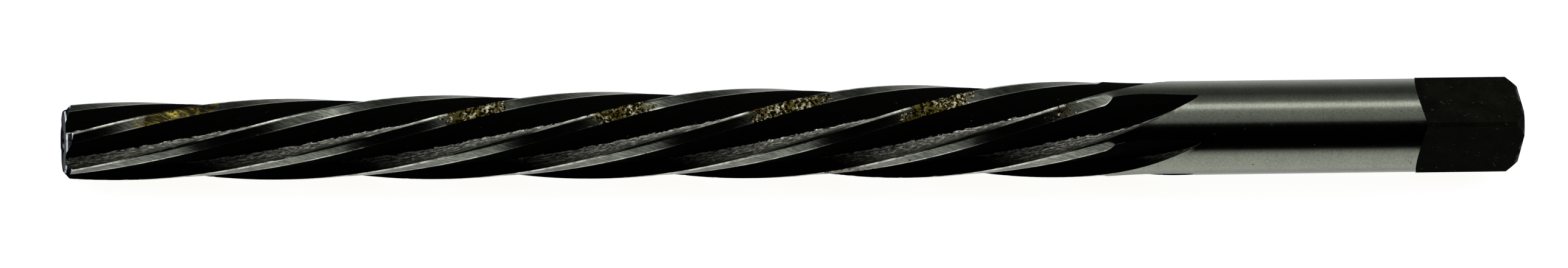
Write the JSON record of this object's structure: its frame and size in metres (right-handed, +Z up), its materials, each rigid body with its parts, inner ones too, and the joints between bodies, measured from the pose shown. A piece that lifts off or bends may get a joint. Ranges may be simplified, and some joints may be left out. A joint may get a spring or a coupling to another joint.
{
  "type": "taper reamer",
  "caption": "Hand taper reamer with left-hand spiral flutes, a plain round shank and a square end for a tap wrench.",
  "frame": {"origin": "centre of the bounding box's bottom, on the surface that the tool lies on", "axes": "+X from the small cutting end to the square end, +Z up. The tool is rolled 2.5 degrees from a flat standing upright, to where it comes to rest. The lowest line of its taper is level, so its own axis rises 0.6 degrees towards +X"},
  "size_m": [0.1604, 0.0104, 0.0108],
  "materials": {
    "tool_steel": "ground cutting lands and shank, black scale in the flutes and on the square, a little brown rust"
  },
  "bodies": {
    "root": {"taper_reamer": "tool_steel"}
  },
  "joints": []
}
